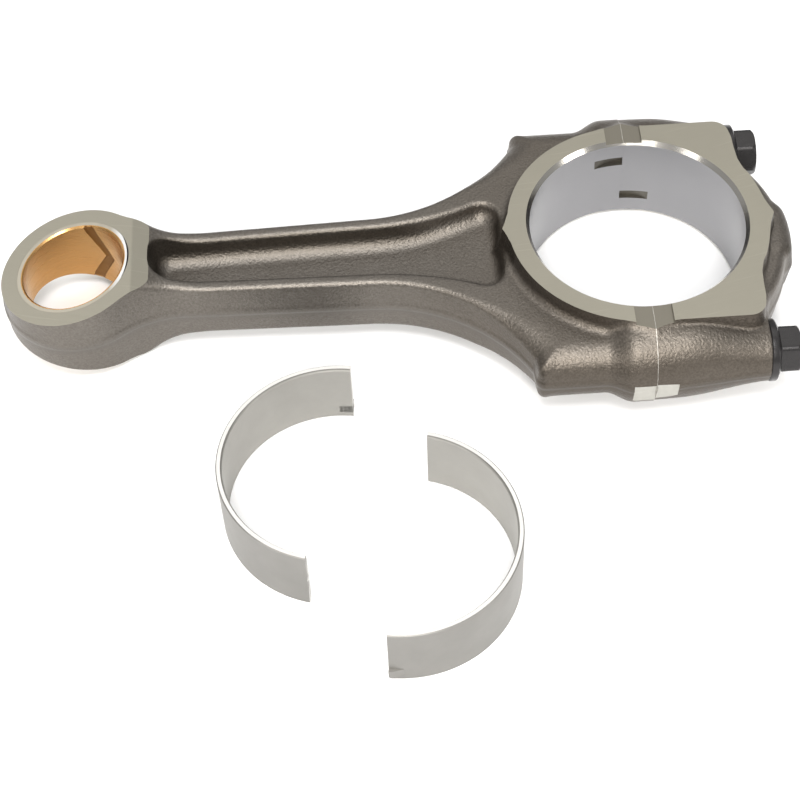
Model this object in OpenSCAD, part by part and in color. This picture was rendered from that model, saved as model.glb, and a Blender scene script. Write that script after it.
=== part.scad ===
// Connecting rod of a diesel engine: a forged rod with a fracture-split bearing cap, two cap bolts,
// a bushed small end with a keystone taper, and the two bearing half-shells that fit the big end.
// The origin is the middle of the big-end bore, +X points from the rod to the bolt heads, and +Z is
// square to the faces. The half-shells stand on their edges in the plane of the lower big-end face.

/* [Main dimensions] */
// Distance between the two bore axes
centre_distance = 192; // [180:1:215]
// Width across the machined big-end faces
big_end_width = 36; // [34:0.5:40]
// Diameter of the big-end housing bore
housing_bore_d = 73; // [68:0.5:75]
// Diameter of the piston-pin bore in the bush
pin_bore_d = 35; // [32:0.5:36]

/* [Big end] */
// Radius of the machined ring faces
ring_r = 44; // [42:0.5:46]
// Radius of the strap around the cap
strap_r = 51.6; // [50:0.2:52.6]
// Radius of the balance pad at the crown of the cap
pad_r = 54.2; // [53:0.2:55]
// Width of the strap around the cap, at its root
strap_width = 24; // [20:1:26]
// Length of the cap from the split to the bolt seats
cap_length = 38.2; // [36:0.2:40]
// Distance from the bore axis to each bolt axis
bolt_offset = 45; // [44.5:0.1:46]
// Half width across the bolt bosses at the split
boss_reach = 58.6; // [56:0.1:60]
// Depth of the relief that crosses the split on both faces
relief_depth = 0.9; // [0.4:0.1:1.5]
// Half length of the relief along the rod
relief_half = 6.2; // [4:0.1:8]

/* [Shank] */
// Width across the flanges of the I-section
shank_height = 23; // [20:0.5:26]
// Thickness of the web between the two pockets
web_thickness = 5.8; // [5:0.2:10]
// Width of the flat top of each flange
flange_top = 4.2; // [2.5:0.1:5]
// Half width of the shank beside the small end
shank_half = 13.5; // [12:0.1:15]

/* [Small end] */
// Outer radius of the small end
small_end_r = 25.8; // [24:0.2:28]
// Width across the parallel shoulders of the small end
small_end_width = 33.4; // [30:0.2:35]
// Slope of each keystone face
keystone_slope = 0.211; // [0.1:0.01:0.25]
// Distance from the pin axis to the start of the keystone faces
keystone_start = 20.5; // [18:0.5:22]
// Outer diameter of the bush
bush_od = 39.2; // [38:0.2:41]
// Thickness of the bronze lining of the bush
bronze_wall = 0.8; // [0.5:0.1:1]

/* [Cap bolts] */
// Nominal thread diameter
thread_d = 12; // [10:0.5:12]
// Distance from the seat to the tip of the bolt
bolt_length = 66; // [60:1:68]
// Size across the flats of the head
hex_af = 15; // [13:0.5:16]
// Height of the hexagon above the flange
hex_height = 7.4; // [6:0.2:8]
// Diameter of the flange under the head
flange_d = 20.8; // [19:0.2:22]
// Thickness of the flange under the head
flange_t = 3.1; // [2:0.1:4]
// Angle at which the front bolt's hexagon stopped
front_head_turn = 37; // [0:1:59]
// Angle at which the rear bolt's hexagon stopped
rear_head_turn = 44; // [0:1:59]

/* [Bearing half-shells] */
// Width of a half-shell
shell_width = 26; // [22:0.5:30]
// Wall thickness of a half-shell
shell_wall = 2; // [1.6:0.1:2.5]
// Thickness of the bearing lining
lining_wall = 0.3; // [0.2:0.1:0.6]
// Outer radius of a half-shell while it is free and sprung open
shell_free_r = 37.8; // [36.8:0.1:38]
// Place and heading of the left half-shell: X, Y and degrees
left_shell_place = [-106.3, -83.7, 166.8];
// Place and heading of the right half-shell: X, Y and degrees
right_shell_place = [-86.8, -111.3, -13.2];

/* [Hidden] */
$fn = 96;

span = 200;
housing_r = housing_bore_d / 2;
pin_r = pin_bore_d / 2;
bush_r = bush_od / 2;
face_z = big_end_width / 2;
shoulder_z = small_end_width / 2;
shank_z = shank_height / 2;
web_z = web_thickness / 2;
chamfer_r = 1.2;
chamfer_z = 1.6;
ring_point = 2;
seat_cutter_r = 11.6;
keystone_x = -centre_distance + keystone_start;

// Shank outline: a fillet from the small end, a slow taper and a flare out to the bolt shoulders
neck_r = 35;
neck_x = -centre_distance + sqrt(pow(small_end_r + neck_r, 2) - pow(shank_half + neck_r, 2));
neck_angle = atan2(shank_half + neck_r, neck_x + centre_distance);
flare_r = 61;
flare_x = -93;
flare_half = shank_half + 1.7;
flare_end = -27;
shoulder_x = -38.5;
shoulder_half = 54.3;
shoulder_corner = 2.5;
shoulder_round = 6;

// Side profile: the machined shoulders run down to the flanges along an arc
ramp_x = -165.6;
ramp_run = 19.6;
ramp_drop = shoulder_z - shank_z;
ramp_r = (pow(ramp_run, 2) + pow(ramp_drop, 2)) / (2 * ramp_drop);
ramp_angle = asin(ramp_run / ramp_r);

// Bolt bosses: an elliptic section around each bolt axis, with the ends of the cap rounded down
boss_y = boss_reach - bolt_offset;
boss_z = 16;
boss_inner_y = 30;
rod_boss_length = 9;
cap_boss_flat = 12;
cap_end_y = boss_y - 3.2;
cap_end_z = 11.2;
pad_half_y = 13;
pad_half_z = 9.5;
block_inner = 24;
block_corner = 6.5;

// Bolt holes and tang notches
thread_gap = 0.05;
shank_gap = 0.25;
tapped_depth = 33;
notch_cutter_r = 17.7;
notch_cutter_y = housing_r + 1.7 - notch_cutter_r;
notch_width = 3.8;
notch_z = 8.6;

// Free half-shells keep the arc length that fills half of the housing bore
shell_half_angle = 90 * housing_r / shell_free_r;
lining_r = shell_free_r - shell_wall + lining_wall;
tang_angle = 7;
tang_rise = 1.1;
tang_width = 3.4;
tang_edge = shell_width / 2 - notch_z - tang_width / 2;

// Points along an arc from angle a0 to angle a1
function arc(cx, cy, r, a0, a1, n = 16) =
    [for (i = [0:n]) [cx + r * cos(a0 + (a1 - a0) * i / n), cy + r * sin(a0 + (a1 - a0) * i / n)]];

// An outline closed by its own mirror image in the X axis
function closed(half) = concat(half, [for (i = [len(half) - 1:-1:0]) [half[i][0], -half[i][1]]]);

// Half width of the shank between the neck and the flare
function shank_edge(x) = shank_half + (flare_half - shank_half) * (x - neck_x) / (flare_x - neck_x);

// Half of the pocket outline, inside the flanges
function pocket_half(x) = shank_edge(x) - flange_top;

// Extrudes an X-Z outline along Y through the whole rod
module side_profile(points) {
    rotate([90, 0, 0]) linear_extrude(height = span, center = true) polygon(points);
}

// Extrudes a Y-Z outline along X from x0 to x1
module along_x(x0, x1) {
    translate([x0, 0, 0]) rotate([90, 0, 90]) linear_extrude(height = x1 - x0) children();
}

// Everything on the rod side or the cap side of the split
module half_space(side) {
    translate([side * span, 0, 0]) cube([2 * span, 2 * span, span], center = true);
}

// Plan outline of the rod from the small end to the split
module rod_plan() {
    polygon(closed(concat(
        arc(-centre_distance, 0, small_end_r, 180, neck_angle, 24),
        arc(neck_x, shank_half + neck_r, neck_r, 180 + neck_angle, 270, 12),
        arc(flare_x, flare_half + flare_r, flare_r, 270, 360 + flare_end, 24),
        arc(shoulder_x + shoulder_corner, shoulder_half - shoulder_corner, shoulder_corner, 180, 90, 6),
        [[0, shoulder_half]]
    )));
}

// Section that rounds the outer edges of the bolt shoulders
module shoulder_section() {
    edge_y = shoulder_half - shoulder_round;
    intersection_for(side = [0, 1]) mirror([side, 0]) polygon(concat(
        [[-span, -shank_z], [-span, -span], [edge_y - 6, -span], [edge_y - 6, -shank_z]],
        [for (i = [0:12]) [edge_y + shoulder_round * cos(i * 15 - 90), shank_z * sin(i * 15 - 90)]],
        [[edge_y - 6, shank_z], [edge_y - 6, span], [-span, span], [-span, shank_z]]
    ));
}

// Side outline of the rod: keystone faces, machined shoulders, ramps and flange tops
module rod_side() {
    tip_x = -centre_distance - small_end_r - 1;
    side_profile(closed(concat(
        [[tip_x, shoulder_z - keystone_slope * (keystone_x - tip_x)]],
        [[keystone_x, shoulder_z]],
        arc(ramp_x + ramp_run, shank_z + ramp_r, ramp_r, 270 - ramp_angle, 270, 10),
        [[0, shank_z]]
    )));
}

// The two faces of the small end, which are also the ends of the bush
module keystone_faces() {
    side_profile(closed([
        [-span - small_end_r, shoulder_z - keystone_slope * (keystone_x + span + small_end_r)],
        [keystone_x, shoulder_z],
        [ramp_x, shoulder_z]
    ]));
}

// Pocket between the flanges, closed by a straight edge at the small end
module pocket_plan() {
    difference() {
        polygon(closed(concat(
            [[ramp_x, 5.5]],
            arc(ramp_x + 8.5, pocket_half(neck_x) - 6, 6, 150, 90, 6),
            [[flare_x, pocket_half(flare_x)]],
            arc(flare_x, pocket_half(flare_x) + 112, 112, 270, 291, 8),
            arc(-54, 11.8, 6.6, 74, 0, 8)
        )));
        circle(r = ring_r + 1.5);
    }
}

// Machined ring around the housing bore, with its small point on the rod's centre line
module machined_ring(side) {
    cylinder(r = ring_r, h = big_end_width, center = true);
    linear_extrude(height = big_end_width, center = true)
        polygon([[side * 40, 10], [side * (ring_r + ring_point), 0], [side * 40, -10]]);
}

// Section of a bolt boss around a bolt axis
module boss_section() {
    outer = [for (i = [0:24])
        [bolt_offset + boss_y * cos(i * 7.5 - 90), boss_z * sin(i * 7.5 - 90)]];
    polygon(concat([[boss_inner_y, -boss_z]], outer, [[boss_inner_y, boss_z]]));
}

// Both bosses, one on each side of the bore
module boss_pair() {
    boss_section();
    mirror([1, 0]) boss_section();
}

// Housing bore with its chamfers
module housing_bore() {
    cylinder(r = housing_r, h = span, center = true);
    for (side = [1, -1]) scale([1, 1, side]) translate([0, 0, face_z - chamfer_z])
        cylinder(r1 = housing_r, r2 = housing_r + 2 * chamfer_r, h = 2 * chamfer_z);
}

// Shallow relief across the split on both faces
module split_relief() {
    for (side = [1, -1]) translate([0, 0, side * (face_z + 5 - relief_depth)])
        cube([2 * relief_half, span, 10], center = true);
}

// Notch that takes the tang of a half-shell, milled into the bore at the split
module tang_notch(z) {
    translate([0, notch_cutter_y, z]) cylinder(r = notch_cutter_r, h = notch_width, center = true);
}

// The forged rod: small end, I-section shank and the upper half of the big end
module rod_forging() {
    color([0.45, 0.43, 0.4]) difference() {
        union() {
            intersection() {
                linear_extrude(height = 2 * shoulder_z + 2, center = true) rod_plan();
                rod_side();
                along_x(-span - small_end_r, 0) shoulder_section();
            }
            machined_ring(-1);
            along_x(-rod_boss_length, 0) boss_pair();
        }
        half_space(1);
        housing_bore();
        split_relief();
        tang_notch(notch_z);
        for (side = [1, -1]) translate([0, 0, side * (web_z + 10)])
            linear_extrude(height = 20, center = true) pocket_plan();
        translate([-centre_distance, 0, 0]) cylinder(r = bush_r, h = span, center = true);
        for (side = [1, -1]) translate([0, side * bolt_offset, 0]) rotate([0, -90, 0]) {
            cylinder(r = thread_d / 2 + thread_gap, h = tapped_depth);
            translate([0, 0, tapped_depth]) cylinder(r1 = thread_d / 2 + thread_gap, r2 = 1, h = 3);
        }
    }
}

// Plan and side outlines of the cap's bosses: full size at the split, less at the bolt seats
module cap_boss_limits() {
    side_profile(closed([
        [0, boss_z],
        [cap_boss_flat, boss_z],
        [cap_boss_flat + 9, boss_z - 1.2],
        [cap_length - 7, cap_end_z + 1],
        [cap_length, cap_end_z]
    ]));
}

module cap_boss_plan() {
    linear_extrude(height = span, center = true) polygon(closed([
        [0, boss_reach],
        [6, boss_reach - 0.2],
        [20, boss_reach - 1.4],
        [cap_length, bolt_offset + cap_end_y]
    ]));
}

// Machined block beside the bore, with its outer corner rounded
module cap_block() {
    linear_extrude(height = big_end_width, center = true) polygon(concat(
        [[0, block_inner], [cap_length - 0.6, block_inner]],
        arc(cap_length - 0.6 - block_corner, ring_r - block_corner, block_corner, 0, 90, 8),
        [[0, ring_r]]
    ));
}

// Strap around the bore with rounded edges, and the balance pad at its crown
module cap_strap() {
    root_z = strap_width / 2;
    rotate_extrude() polygon([
        [0, -root_z], [strap_r - 5, -root_z], [strap_r - 1.5, -root_z + 3.5], [strap_r, -4],
        [strap_r, 4], [strap_r - 1.5, root_z - 3.5], [strap_r - 5, root_z], [0, root_z]
    ]);
    intersection() {
        rotate_extrude() polygon([
            [0, -pad_half_z], [pad_r - 2, -pad_half_z], [pad_r, -4],
            [pad_r, 4], [pad_r - 2, pad_half_z], [0, pad_half_z]
        ]);
        translate([housing_r, -pad_half_y, -face_z]) cube([span, 2 * pad_half_y, big_end_width]);
    }
}

// The bearing cap: machined block, strap around the bore and a boss for each bolt
module bearing_cap() {
    color([0.47, 0.45, 0.41]) difference() {
        union() {
            machined_ring(1);
            cap_strap();
            cap_block();
            mirror([0, 1, 0]) cap_block();
            intersection() {
                along_x(0, cap_length) boss_pair();
                cap_boss_limits();
                cap_boss_plan();
            }
        }
        half_space(-1);
        housing_bore();
        split_relief();
        tang_notch(-notch_z);
        for (side = [1, -1]) translate([0, side * bolt_offset, 0]) rotate([0, 90, 0]) {
            cylinder(r = thread_d / 2 + shank_gap, h = span, center = true);
            translate([0, 0, cap_length]) cylinder(r = seat_cutter_r, h = 20);
        }
    }
}

// One layer of the small-end bush, cut to the keystone faces
module bush_layer(outer_r, inner_r) {
    intersection() {
        translate([-centre_distance, 0, 0]) difference() {
            cylinder(r = outer_r, h = big_end_width, center = true);
            cylinder(r = inner_r, h = span, center = true);
        }
        keystone_faces();
    }
}

// Steel back of the bush, pressed into the small end
module bush_steel_back() {
    color([0.72, 0.72, 0.7]) bush_layer(bush_r, pin_r + bronze_wall);
}

// Bronze lining of the bush, bonded to its steel back
module bush_bronze_lining() {
    color([0.72, 0.5, 0.27]) bush_layer(pin_r + bronze_wall, pin_r);
}

// One cap bolt on the X axis: hexagon, flange, waisted shank and thread
module cap_bolt(head_turn) {
    thread_r = thread_d / 2;
    waist_r = thread_r - 0.9;
    tip_x = cap_length - bolt_length;
    head_x = cap_length + flange_t;
    corner_r = hex_af / sqrt(3);
    rotate([0, 90, 0]) {
        rotate_extrude() polygon([
            [0, tip_x], [thread_r - 1, tip_x], [thread_r, tip_x + 1.2], [thread_r, -1],
            [waist_r, 0], [waist_r, cap_length - 9], [thread_r, cap_length - 8],
            [thread_r, cap_length], [flange_d / 2 - 0.4, cap_length], [flange_d / 2, cap_length + 0.4],
            [flange_d / 2, head_x - 1.4], [hex_af / 2 + 0.6, head_x], [0, head_x]
        ]);
        intersection() {
            translate([0, 0, head_x - 1]) rotate(head_turn)
                cylinder(r = corner_r, h = hex_height + 1, $fn = 6);
            translate([0, 0, head_x + hex_height - 10])
                cylinder(r1 = corner_r + 8, r2 = hex_af / 2 - 0.3, h = 10);
        }
    }
}

// Bolt on the front side of the bore
module front_cap_bolt() {
    color([0.08, 0.08, 0.09]) translate([0, -bolt_offset, 0]) cap_bolt(front_head_turn);
}

// Bolt on the rear side of the bore
module rear_cap_bolt() {
    color([0.08, 0.08, 0.09]) translate([0, bolt_offset, 0]) cap_bolt(rear_head_turn);
}

// Sector of a ring that starts at the tang end of a half-shell
module shell_sector(inner_r, outer_r, low, high, angle) {
    rotate_extrude(angle = angle) translate([inner_r, low]) square([outer_r - inner_r, high - low]);
}

// Stands a half-shell on its edge at its place, with its crown towards the heading
module stand_shell(place) {
    translate([place[0], place[1], -face_z]) rotate(place[2] - shell_half_angle) children();
}

// Dent that pressing the tang leaves in the inner face
module tang_dent() {
    rotate(-1) shell_sector(
        shell_free_r - 2 * shell_wall, shell_free_r - shell_wall + tang_rise,
        tang_edge, tang_edge + tang_width, tang_angle
    );
}

// Steel back of a half-shell with its tang
module shell_back(place) {
    stand_shell(place) difference() {
        union() {
            shell_sector(lining_r, shell_free_r, 0, shell_width, 2 * shell_half_angle);
            shell_sector(
                shell_free_r - shell_wall / 2, shell_free_r + tang_rise,
                tang_edge, tang_edge + tang_width, tang_angle
            );
        }
        tang_dent();
    }
}

// Bearing lining of a half-shell, bonded to its steel back
module shell_lining(place) {
    stand_shell(place) difference() {
        shell_sector(shell_free_r - shell_wall, lining_r, 0, shell_width, 2 * shell_half_angle);
        tang_dent();
    }
}

// Left half-shell, standing beside the shank
module left_shell_steel_back() {
    color([0.72, 0.71, 0.68]) shell_back(left_shell_place);
}

module left_shell_bearing_lining() {
    color([0.78, 0.77, 0.74]) shell_lining(left_shell_place);
}

// Right half-shell, standing in front of the left one
module right_shell_steel_back() {
    color([0.72, 0.71, 0.68]) shell_back(right_shell_place);
}

module right_shell_bearing_lining() {
    color([0.78, 0.77, 0.74]) shell_lining(right_shell_place);
}

rod_forging();
bearing_cap();
bush_steel_back();
bush_bronze_lining();
front_cap_bolt();
rear_cap_bolt();
left_shell_steel_back();
left_shell_bearing_lining();
right_shell_steel_back();
right_shell_bearing_lining();
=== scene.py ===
"""Visual model of a forged, fracture-split connecting rod with its loose bearing half-shells.

The forgings are meshed from smooth distance fields, so that drafts, fillets and rounded bosses are
real geometry, and are then machined with solid cutters, so that faces, bores and seats have crisp
edges. Lengths in the modelling code are in millimetres; meshes are scaled to metres at the end.
"""
import math

import bpy
import numpy as np
from mathutils import Matrix, Vector


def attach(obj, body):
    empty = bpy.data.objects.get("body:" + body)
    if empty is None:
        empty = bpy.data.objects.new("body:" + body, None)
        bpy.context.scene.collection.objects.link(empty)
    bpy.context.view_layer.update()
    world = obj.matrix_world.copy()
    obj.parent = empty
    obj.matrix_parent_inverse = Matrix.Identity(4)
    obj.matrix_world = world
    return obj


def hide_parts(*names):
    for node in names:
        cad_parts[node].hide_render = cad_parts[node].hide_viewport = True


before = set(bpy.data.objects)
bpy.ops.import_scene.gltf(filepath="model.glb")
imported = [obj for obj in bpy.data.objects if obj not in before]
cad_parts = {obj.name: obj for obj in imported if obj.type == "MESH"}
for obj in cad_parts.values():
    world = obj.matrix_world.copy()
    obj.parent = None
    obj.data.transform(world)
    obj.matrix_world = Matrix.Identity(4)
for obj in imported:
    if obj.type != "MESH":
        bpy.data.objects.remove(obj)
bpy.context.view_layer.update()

MM = 0.001
TAU = 2 * math.pi
GRID = 0.7

# Sizes of the part, from its CAD
CENTRE = 192.0  # between the axes of the two bores
FACE_Z = 18.0  # machined faces of the big end
HOUSING_R = 36.5
CHAMFER_R, CHAMFER_Z = 1.2, 1.6  # at the mouths of the housing bore
RING_R = 44.0  # raised ring around the housing bore
RELIEF_Z = 17.1  # step milled into the faces across the split
BOLT_Y = 45.0
SEAT_X = 38.2  # seat of the bolt flanges
SPOT_R = 11.6  # milled clearance around a bolt head
TAP_R, CLEARANCE_R = 6.1, 6.25  # bolt holes of the rod and of the cap
SMALL_R = 25.8
SHOULDER_Z = 16.7  # faces of the small end, before they taper
KEY_X, KEY_SLOPE = -171.5, 0.211  # where the taper starts, and its slope
BUSH_R, BRONZE_R, PIN_R = 19.6, 18.3, 17.5
PITCH = 1.25
FLANGE_Z = 11.5  # top of the I-section's flanges
WEB_Z = 2.9  # top of its web
TANG_Z = 8.6  # middle of a shell's tang, from mid width

# Cutters reach past the part by these
FAR, ABOVE = 70, 26

# ---------------------------------------------------------------- mesh tools


def new_object(name, verts, faces, material=None, smooth=True):
    """A mesh object from points in millimetres."""
    mesh = bpy.data.meshes.new(name)
    points = np.asarray(verts, float) * MM
    mesh.from_pydata([tuple(v) for v in points], [], [tuple(f) for f in faces])
    mesh.validate()
    if material is not None:
        mesh.materials.append(material)
    mesh.polygons.foreach_set("use_smooth", [smooth] * len(mesh.polygons))
    obj = bpy.data.objects.new(name, mesh)
    bpy.context.scene.collection.objects.link(obj)
    return obj


def smax(a, b, r):
    """Intersection of two fields with a convex edge of radius r."""
    u, v = np.maximum(r + a, 0), np.maximum(r + b, 0)
    return np.minimum(-r, np.maximum(a, b)) + np.sqrt(u * u + v * v)


def smin(a, b, r):
    """Union of two fields with a concave fillet of radius r."""
    return -smax(-a, -b, r)


def step(a, b, x):
    """Smooth rise from 0 at a to 1 at b."""
    t = np.clip((x - a) / (b - a), 0, 1)
    return t * t * (3 - 2 * t)


def ellipse(u, v, a, b):
    """Near distance to an ellipse with half axes a and b."""
    k0 = np.sqrt((u / a) ** 2 + (v / b) ** 2)
    k1 = np.sqrt((u / a**2) ** 2 + (v / b**2) ** 2)
    return np.where(k1 > 1e-9, k0 * (k0 - 1) / np.maximum(k1, 1e-9), -min(np.min(a), np.min(b)))


def arc(cx, cy, r, a0, a1, n=16):
    """Points on an arc, with its angles in degrees."""
    t = np.radians(np.linspace(a0, a1, n + 1))
    return [(cx + r * math.cos(x), cy + r * math.sin(x)) for x in t]


class Plan:
    """Signed distance to an outline that is symmetric about the X axis, negative inside."""

    STEP = 0.3

    def __init__(self, half, low, high):
        outline = np.array(list(half) + [(x, -y) for x, y in reversed(half)], float)
        self.low = np.array(low, float)
        n = np.ceil((np.array(high, float) - self.low) / self.STEP).astype(int) + 1
        x = (self.low[0] + self.STEP * np.arange(n[0]))[:, None]
        y = (self.low[1] + self.STEP * np.arange(n[1]))[None, :]
        best = np.full((n[0], n[1]), 1e9)
        inside = np.zeros((n[0], n[1]), bool)
        for p, q in zip(outline, np.roll(outline, -1, axis=0)):
            d = q - p
            length2 = float(d @ d)
            if length2 < 1e-12:
                continue
            t = np.clip(((x - p[0]) * d[0] + (y - p[1]) * d[1]) / length2, 0, 1)
            best = np.minimum(best, (x - p[0] - t * d[0]) ** 2 + (y - p[1] - t * d[1]) ** 2)
            if abs(d[1]) > 1e-12:
                crosses = (y >= min(p[1], q[1])) & (y < max(p[1], q[1]))
                inside ^= crosses & (x < p[0] + (y - p[1]) * d[0] / d[1])
        self.table = np.sqrt(best) * np.where(inside, -1, 1)

    def __call__(self, x, y):
        u = (np.asarray(x) - self.low[0]) / self.STEP
        v = (np.asarray(y) - self.low[1]) / self.STEP
        u, v = np.broadcast_arrays(u, v)
        i = np.clip(np.floor(u).astype(int), 0, self.table.shape[0] - 2)
        j = np.clip(np.floor(v).astype(int), 0, self.table.shape[1] - 2)
        fu, fv = u - i, v - j
        t = self.table
        return (t[i, j] * (1 - fu) * (1 - fv) + t[i + 1, j] * fu * (1 - fv)
                + t[i, j + 1] * (1 - fu) * fv + t[i + 1, j + 1] * fu * fv)


CORNERS = [(i, j, k) for i in (0, 1) for j in (0, 1) for k in (0, 1)]
EDGES = [(a, b) for a in range(8) for b in range(a + 1, 8)
         if sum(abs(p - q) for p, q in zip(CORNERS[a], CORNERS[b])) == 1]


def surface_nets(field, low, high, h):
    """Closed quad mesh of field = 0, relaxed along the surface and projected back onto it."""
    middle, half = (np.array(high) + low) / 2, (np.array(high, float) - low) / 2

    def closed(x, y, z):
        """The field, closed by the box from low to high."""
        outside = [np.abs(v - m) - s for v, m, s in zip((x, y, z), middle, half)]
        walls = np.maximum(np.maximum(outside[0], outside[1]), outside[2])
        return np.maximum(field(x, y, z), walls)

    axes = [np.arange(a - 2 * h, b + 3 * h, h) for a, b in zip(low, high)]
    x, y, z = axes[0][:, None, None], axes[1][None, :, None], axes[2][None, None, :]
    f = np.broadcast_to(closed(x, y, z), tuple(len(a) for a in axes)).astype(np.float64)
    neg = f < 0
    n = [s - 1 for s in f.shape]

    def corner(a, o):
        return a[o[0]:o[0] + n[0], o[1]:o[1] + n[1], o[2]:o[2] + n[2]]

    count = sum(corner(neg, o).astype(np.int8) for o in CORNERS)
    cells = np.argwhere((count > 0) & (count < 8))
    values = np.stack(
        [f[cells[:, 0] + o[0], cells[:, 1] + o[1], cells[:, 2] + o[2]] for o in CORNERS], 1)
    total, hits = np.zeros((len(cells), 3)), np.zeros(len(cells))
    for a, b in EDGES:
        fa, fb = values[:, a], values[:, b]
        cut = (fa < 0) != (fb < 0)
        t = np.where(cut, fa / np.where(cut, fa - fb, 1), 0)[:, None]
        p = np.array(CORNERS[a]) + t * (np.array(CORNERS[b]) - np.array(CORNERS[a]))
        total += np.where(cut[:, None], p, 0)
        hits += cut
    origin = np.array([a[0] for a in axes])
    verts = origin + h * (cells + total / hits[:, None])
    index = np.full(n, -1, np.int64)
    index[tuple(cells.T)] = np.arange(len(cells))
    quads = []
    for axis in range(3):
        u, v = (axis + 1) % 3, (axis + 2) % 3
        lo = [slice(1, -1)] * 3
        hi = [slice(1, -1)] * 3
        lo[axis], hi[axis] = slice(0, -1), slice(1, None)
        a, b = neg[tuple(lo)], neg[tuple(hi)]
        for first, second, flip in ((a, b, False), (b, a, True)):
            found = np.argwhere(first & ~second)
            found[:, u] += 1
            found[:, v] += 1
            ring = []
            for du, dv in ((1, 1), (0, 1), (0, 0), (1, 0)):
                c = found.copy()
                c[:, u] -= du
                c[:, v] -= dv
                ring.append(index[tuple(c.T)])
            q = np.stack(ring, 1)
            quads.append(q[:, ::-1] if flip else q)
    quads = np.concatenate(quads)
    ends = np.stack([quads, np.roll(quads, -1, 1)], 2).reshape(-1, 2)
    ways = np.bincount(ends[:, 0], minlength=len(verts))
    e = 0.05
    nudges = e * np.eye(3)
    for _ in range(3):
        near = np.zeros_like(verts)
        for c in range(3):
            near[:, c] = np.bincount(ends[:, 0], verts[ends[:, 1], c], len(verts))
        verts = 0.5 * verts + 0.5 * near / ways[:, None]
        for _ in range(2):
            value = closed(*verts.T)
            slope = np.stack([(closed(*(verts + nudge).T) - value) / e for nudge in nudges], 1)
            size = np.maximum((slope**2).sum(1), 0.05)
            move = np.clip(-value / size, -h, h)
            verts = verts + move[:, None] * slope
    return verts, quads


def prism(outline, low, high, axis=2):
    """Closed solid: a simple outline extruded along Z, or along Y with axis 1. The outline runs
    anticlockwise."""
    pts = [tuple(p) for p in outline]
    n = len(pts)
    verts = [(x, y, low) for x, y in pts] + [(x, y, high) for x, y in pts]
    faces = [tuple(range(n))[::-1], tuple(range(n, 2 * n))]
    faces += [(i, (i + 1) % n, n + (i + 1) % n, n + i) for i in range(n)]
    verts = np.array(verts, float)
    if axis == 1:
        verts = np.stack([verts[:, 0], -verts[:, 2], verts[:, 1]], 1)
    return verts, faces


def box(low, high):
    (x0, y0, z0), (x1, y1, z1) = low, high
    return prism([(x0, y0), (x1, y0), (x1, y1), (x0, y1)], z0, z1)


def rows_mesh(rows, ring=False):
    """Closed mesh through rows of points, each row a closed loop. The ends are closed with fans, or
    with ring the last row joins the first."""
    count = len(rows[0])
    verts = np.concatenate([np.asarray(r, float) for r in rows])
    faces = []
    span = len(rows) if ring else len(rows) - 1
    for k in range(span):
        a, b = k * count, (k + 1) % len(rows) * count
        faces += [(a + i, a + (i + 1) % count, b + (i + 1) % count, b + i) for i in range(count)]
    if not ring:
        for k, forward in ((0, False), (len(rows) - 1, True)):
            centre = verts[k * count:(k + 1) * count].mean(0)
            verts = np.vstack([verts, centre])
            c = len(verts) - 1
            for i in range(count):
                a, b = k * count + i, k * count + (i + 1) % count
                faces.append((a, b, c) if forward else (b, a, c))
    return verts, faces


def turned(profile, place=(0, 0, 0), along="z", n=192):
    """Closed solid of revolution through (radius, height) points, with the height along an axis."""
    t = np.arange(n) * TAU / n
    rows = []
    for r, h in profile:
        u, v, w = r * np.cos(t), r * np.sin(t), np.full(n, float(h))
        rows.append(np.stack([u, v, w] if along == "z" else [w, u, v], 1) + np.array(place))
    return rows_mesh(rows)


def cut(obj, solid, material, mode="DIFFERENCE"):
    """Machines obj with a closed solid, whose faces carry the given material."""
    tool = new_object("tool", *solid, material)
    if material.name not in [m.name for m in obj.data.materials]:
        obj.data.materials.append(material)
    mod = obj.modifiers.new("machine", "BOOLEAN")
    mod.operation, mod.object, mod.solver = mode, tool, "MANIFOLD"
    mod.material_mode = "TRANSFER"
    deps = bpy.context.evaluated_depsgraph_get()
    mesh = bpy.data.meshes.new_from_object(obj.evaluated_get(deps), depsgraph=deps)
    obj.modifiers.clear()
    old = obj.data
    name = old.name
    obj.data = mesh
    bpy.data.meshes.remove(old)
    mesh.name = name
    tool_mesh = tool.data
    bpy.data.objects.remove(tool)
    bpy.data.meshes.remove(tool_mesh)
    return obj


def crease(obj, angle=28):
    """Smooth shading with sharp edges by angle and wherever two finishes meet."""
    mesh = obj.data
    mesh.polygons.foreach_set("use_smooth", [True] * len(mesh.polygons))
    mesh.set_sharp_from_angle(angle=math.radians(angle))
    if len(mesh.materials) > 1:
        mats = np.zeros(len(mesh.polygons), np.int32)
        mesh.polygons.foreach_get("material_index", mats)
        loops = np.zeros(len(mesh.loops), np.int32)
        mesh.loops.foreach_get("edge_index", loops)
        totals = np.zeros(len(mesh.polygons), np.int32)
        mesh.polygons.foreach_get("loop_total", totals)
        per_loop = np.repeat(mats, totals)
        low = np.full(len(mesh.edges), 99)
        high = np.full(len(mesh.edges), -1)
        np.minimum.at(low, loops, per_loop)
        np.maximum.at(high, loops, per_loop)
        sharp = np.zeros(len(mesh.edges), bool)
        attribute = (mesh.attributes.get("sharp_edge")
                     or mesh.attributes.new("sharp_edge", "BOOLEAN", "EDGE"))
        attribute.data.foreach_get("value", sharp)
        sharp |= low != high
        attribute.data.foreach_set("value", sharp)
    mesh.update()


# ---------------------------------------------------------------- materials

BLACK, WHITE = (0, 0, 0), (1, 1, 1)


def material(name, build):
    """A material whose nodes are made by build(tree, shader)."""
    mat = bpy.data.materials.new(name)
    mat.use_nodes = True
    tree = mat.node_tree
    build(tree, tree.nodes["Principled BSDF"])
    return mat


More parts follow.
